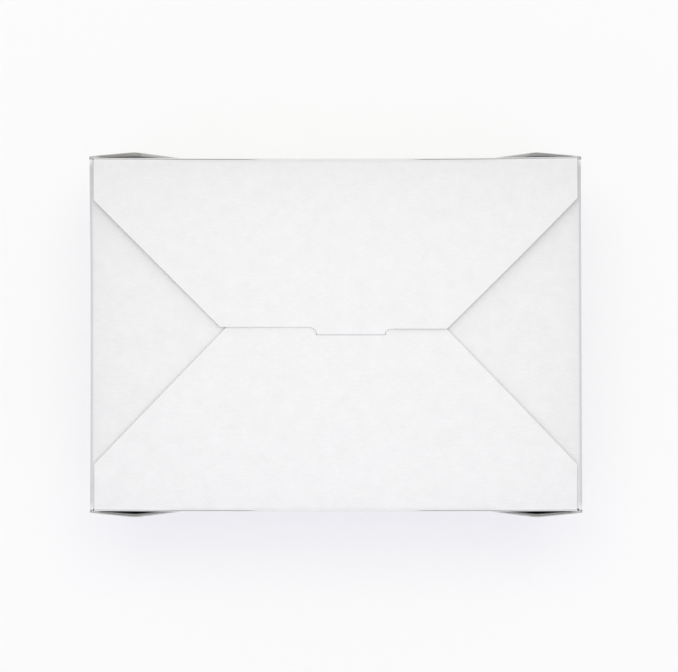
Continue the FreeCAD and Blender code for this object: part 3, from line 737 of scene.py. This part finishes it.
def finish_board(name, points, faces, wear_and_painted_light, joined=None):
    """One piece of board from its patches: joined, settled, marked with wear and painted shade,
    thickened and cut.
    """
    piece = bpy.data.objects.new(name, flat_mesh(name, points, faces, wear_and_painted_light))
    bpy.context.scene.collection.objects.link(piece)
    shape = bmesh.new()
    shape.from_mesh(piece.data)
    if joined:
        shape.from_mesh(joined)
    bmesh.ops.remove_doubles(shape, verts=shape.verts, dist=SAME_PLACE)
    bmesh.ops.delete(shape, geom=[v for v in shape.verts if not v.link_faces], context="VERTS")
    for face in shape.faces:
        face.material_index = OUTER
    shape.to_mesh(piece.data)
    shape.free()
    places = np.empty(len(piece.data.vertices) * 3, np.float32)
    piece.data.vertices.foreach_get("co", places)
    places = settled(places.reshape(-1, 3))
    piece.data.vertices.foreach_set("co", places.ravel())
    marks = np.empty(len(places), np.float32)
    piece.data.attributes["crease"].data.foreach_get("value", marks)
    add_painted_shade(places, marks)
    piece.data.attributes["crease"].data.foreach_set("value", marks)
    for material in (outside, coated, raw_edge_and_shade):
        piece.data.materials.append(material)
    piece.data.shade_smooth()
    thick = piece.modifiers.new("board", "SOLIDIFY")
    thick.thickness = BOARD * 0.001
    thick.offset = 0
    thick.material_offset = INNER
    thick.material_offset_rim = CUT
    piece.data = plain_mesh(piece)
    slant_cut_edges(piece.data)
    piece.data.set_sharp_from_angle(angle=math.radians(SHARP_FROM))
    return piece


board_points = np.array(board_points)
folded_sheet = finish_board(
    "folded_sheet", board_points[:, :3], board_faces, board_points[:, 3], joined=gusset_mesh
)
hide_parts("folded_box")
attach(folded_sheet, "box")


# The locking flap
# The last flap of the same sheet: it folds over from the back wall, lies on the others and
# is held by its tab, bent down through the front flap's slit.

LOCK_FOLD = 77.1              # about where the flap leaves its fold
LOCK_EVEN = 73.0              # from the fold to here the rows run parallel to it
LOCK_STRAIGHT = 59.35         # the straight sides end here, a quarter millimetre lower on the left
LOCK_TILT = 0.25 / FLAP_SIDE
# where the slanting sides end, left and right, and how far back the front edge lies there
LEFT_TIP, LEFT_SHOULDER = 51.1, 3.35
RIGHT_TIP, RIGHT_SHOULDER = 49.2, 2.55
TAB_LEFT, TAB_RIGHT = -8.5, 21.9
TAB_TIP = 55.5
TAB_LEAN = 0.41               # how far the tab's tip leans back in the slit
TAB_ROUND = 3.0
TAB_MIDDLE = 6.7
LEFT_HOLLOW, RIGHT_HOLLOW = 3.7, 2.8     # length of the round corners beside the tab
TAB_FOLD = 0.24                          # a sharp bend
TAB_ROOT = BOARD / 2 + TAB_FOLD          # where the tab starts to bend down

board_points, board_faces = [], []
lock_inner = np.unique(np.r_[
    np.linspace(-STRAIGHT, TAB_LEFT - LEFT_HOLLOW, 8),
    TAB_LEFT - LEFT_HOLLOW * (1 - np.sin(np.linspace(0, math.pi / 2, 9))),
    np.linspace(TAB_LEFT, TAB_RIGHT, 16),
    TAB_RIGHT + RIGHT_HOLLOW * (1 - np.sin(np.linspace(0, math.pi / 2, 9))),
    np.linspace(TAB_RIGHT + RIGHT_HOLLOW, STRAIGHT, 4),
].round(6))


def lock_columns(left, right):
    """Places along X of a row that ends this far out on either side."""
    out = outer_shares
    return np.r_[-(STRAIGHT + out * (left - STRAIGHT))[::-1], lock_inner,
                 STRAIGHT + out * (right - STRAIGHT)]


def front_edge(x):
    """The flap's edge in front: two shoulders that run round into the tab."""
    if x < TAB_LEFT:
        part = min((TAB_LEFT - x) / LEFT_HOLLOW, 1)
        return TAB_ROOT + (LEFT_SHOULDER - TAB_ROOT) * math.sqrt(1 - (1 - part) ** 2)
    if x > TAB_RIGHT:
        part = min((x - TAB_RIGHT) / RIGHT_HOLLOW, 1)
        return TAB_ROOT + (RIGHT_SHOULDER - TAB_ROOT) * math.sqrt(1 - (1 - part) ** 2)
    return TAB_ROOT


lock_fold_y, lock_fold_z = fold_over(long_mid, LONG_LEAN, HEIGHT)
lock_strip = []
for y, z in [(long_mid(GUSSET_TOP), GUSSET_TOP), *zip(lock_fold_y, lock_fold_z)]:
    side = end_face(z) - LONG_INSET
    lock_strip.append([(x, y, z) for x in lock_columns(side, side)[::-1]])
lock_strip_worn = fade_in(lock_strip, 0)
lock_strip_worn[0] = 0
lay(lock_strip, lock_strip_worn)
flap_level = HEIGHT - BOARD / 2
lock_rows = []
for y in np.r_[lock_fold_y[-1] - FOLD_STRIP_AT, np.linspace(LOCK_EVEN, LOCK_STRAIGHT, 6)]:
    tilt = LOCK_TILT * max((LOCK_EVEN - y) / (LOCK_EVEN - LOCK_STRAIGHT), 0)
    lock_rows.append(
        [(x, y + tilt * x, flap_level) for x in lock_columns(FLAP_SIDE, FLAP_SIDE)[::-1]]
    )
straights = LOCK_STRAIGHT + LOCK_TILT * lock_columns(FLAP_SIDE, FLAP_SIDE)
tips = lock_columns(LEFT_TIP, RIGHT_TIP)
for share in np.linspace(0, 1, 34)[1:]:
    left = FLAP_SIDE + share * (LEFT_TIP - FLAP_SIDE)
    right = FLAP_SIDE + share * (RIGHT_TIP - FLAP_SIDE)
    row = [
        (x, straight + share * (front_edge(tip) - straight), flap_level)
        for x, tip, straight in zip(lock_columns(left, right), tips, straights)
    ]
    lock_rows.append(row[::-1])
lay(lock_rows, fold_wear_and_shade(lock_rows))
tab_places = lock_inner[(lock_inner >= TAB_LEFT - 1e-4) & (lock_inner <= TAB_RIGHT + 1e-4)][::-1]
tab_shares = (tab_places - TAB_LEFT) / (TAB_RIGHT - TAB_LEFT)
tab_rows = []
for angle in np.linspace(0, math.pi / 2, 8):
    y = TAB_ROOT - TAB_FOLD * math.sin(angle)
    z = flap_level - TAB_FOLD * (1 - math.cos(angle))
    tab_rows.append([(x, y, z) for x in tab_places])
bend_end = flap_level - TAB_FOLD
for z in np.r_[61, 60, 59, TAB_TIP + TAB_ROUND * np.array([1, 0.75, 0.5, 0.3, 0.15, 0.05, 0])]:
    gone = max(TAB_ROUND - (z - TAB_TIP), 0)
    narrower = TAB_ROUND - math.sqrt(TAB_ROUND ** 2 - gone ** 2)
    y = BOARD / 2 + TAB_LEAN * (bend_end - z) / (bend_end - TAB_TIP)
    left, right = TAB_LEFT + narrower, TAB_RIGHT - narrower
    tab_rows.append([(left + share * (right - left), y, z) for share in tab_shares])
lay(tab_rows)

# the outer corners spring up off the end flaps, the right one more, and the tab holds the
# middle down
board_points = np.array(board_points)
x, y = board_points[:, 0], board_points[:, 1]
on_lid = board_points[:, 2] > FRONT_TOP + 0.05
left_up = 0.1 * np.clip((-x - 20) / 20, 0, 1) + 1.1 * np.clip((-x - 55) / 52, 0, 1) ** 1.5
right_up = 0.35 * np.clip((x - TAB_RIGHT) / 5, 0, 1) + 1.4 * np.clip((x - 50) / 57, 0, 1) ** 1.3
lifted = (left_up + right_up) * np.clip((LOCK_FOLD - y) / 30, 0, 1)
held_down = 0.15 * np.exp(-((x - TAB_MIDDLE) / 22) ** 2) * np.clip((20 - y) / 20, 0, 1)
board_points[:, 2] += (lifted - held_down) * on_lid
locking_flap = finish_board(
    "locking_flap_sheet", board_points[:, :3], board_faces, board_points[:, 3]
)
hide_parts("locking_flap")
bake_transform(locking_flap)


# The table and the light
# A pale matt table under a soft sky, with a wide window light from above and a little behind
# the box. The camera looks straight down on the lid.

TABLE_HALF = 3.0              # in metres, as all in this section
TABLE_WHITE = (0.94, 0.94, 0.94, 1)
GLOW_WHITE = (0.985, 0.985, 0.985, 1)
TABLE_GLOW = 0.26             # share of the table's white that no shadow dims, seen directly
SKY_WHITE = (0.927, 0.925, 1.0, 1)
SKY_LIGHT = 0.995
WINDOW_WARM = (1.0, 0.99, 0.45)
WINDOW_LIGHT = 4.7
WINDOW_TILT = -19             # in degrees, towards the box

table_mesh = bpy.data.meshes.new("table")
table_corners = [
    (x * TABLE_HALF, y * TABLE_HALF, 0) for x, y in ((-1, -1), (1, -1), (1, 1), (-1, 1))
]
table_mesh.from_pydata(table_corners, [], [(0, 1, 2, 3)])
table = bpy.data.objects.new("table", table_mesh)
bpy.context.scene.collection.objects.link(table)
table_top = bpy.data.materials.new("Table top")
table_top.use_nodes = True
table_tree = table_top.node_tree
table_shader = table_tree.nodes["Principled BSDF"]
table_shader.inputs["Base Color"].default_value = TABLE_WHITE
table_shader.inputs["Roughness"].default_value = 0.9
table_shader.inputs["Specular IOR Level"].default_value = 0
# where the table is seen directly or mirrored, part of its white is its own and takes no shadow
table_glow = add_node(table_tree, "ShaderNodeEmission", (0, -500))
table_glow.inputs["Color"].default_value = GLOW_WHITE
table_ray = add_node(table_tree, "ShaderNodeLightPath", (-700, 300))
table_seen = add_node(table_tree, "ShaderNodeMath", (-480, 300), operation="MAXIMUM")
table_mirrored = add_node(table_tree, "ShaderNodeMath", (-260, 300), operation="MAXIMUM")
table_share = add_node(table_tree, "ShaderNodeMath", (-60, 300), operation="MULTIPLY")
table_share.inputs[1].default_value = TABLE_GLOW
table_mix = add_node(table_tree, "ShaderNodeMixShader", (320, 0))
table_tree.links.new(table_ray.outputs["Is Camera Ray"], table_seen.inputs[0])
table_tree.links.new(table_ray.outputs["Is Glossy Ray"], table_seen.inputs[1])
table_tree.links.new(table_seen.outputs[0], table_mirrored.inputs[0])
table_tree.links.new(table_ray.outputs["Is Transmission Ray"], table_mirrored.inputs[1])
table_tree.links.new(table_mirrored.outputs[0], table_share.inputs[0])
table_tree.links.new(table_share.outputs[0], table_mix.inputs["Fac"])
table_tree.links.new(table_shader.outputs[0], table_mix.inputs[1])
table_tree.links.new(table_glow.outputs[0], table_mix.inputs[2])
table_tree.links.new(table_mix.outputs[0], table_tree.nodes["Material Output"].inputs["Surface"])
table_mesh.materials.append(table_top)

world = bpy.data.worlds.new("Soft sky")
bpy.context.scene.world = world
world.use_nodes = True
sky = world.node_tree.nodes["Background"]
sky.inputs["Color"].default_value = SKY_WHITE
sky.inputs["Strength"].default_value = SKY_LIGHT

window = bpy.data.lights.new("window", "AREA")
window.shape = "RECTANGLE"
window.size = 1.4
window.size_y = 0.9
window.energy = WINDOW_LIGHT
window.color = WINDOW_WARM
window_object = bpy.data.objects.new("window", window)
window_object.location = (0, 0.62, 1.8)
window_object.rotation_euler = (math.radians(WINDOW_TILT), 0, 0)
bpy.context.scene.collection.objects.link(window_object)

# straight above the lid and far off
view = bpy.data.cameras.new("camera")
view.sensor_width = 36
view.lens = 180.3
view.clip_end = 20
camera = bpy.data.objects.new("camera", view)
camera.location = (0.001436, -0.000552, 1.5635)
bpy.context.scene.collection.objects.link(camera)
bpy.context.scene.camera = camera
bpy.context.scene.view_settings.view_transform = "Standard"
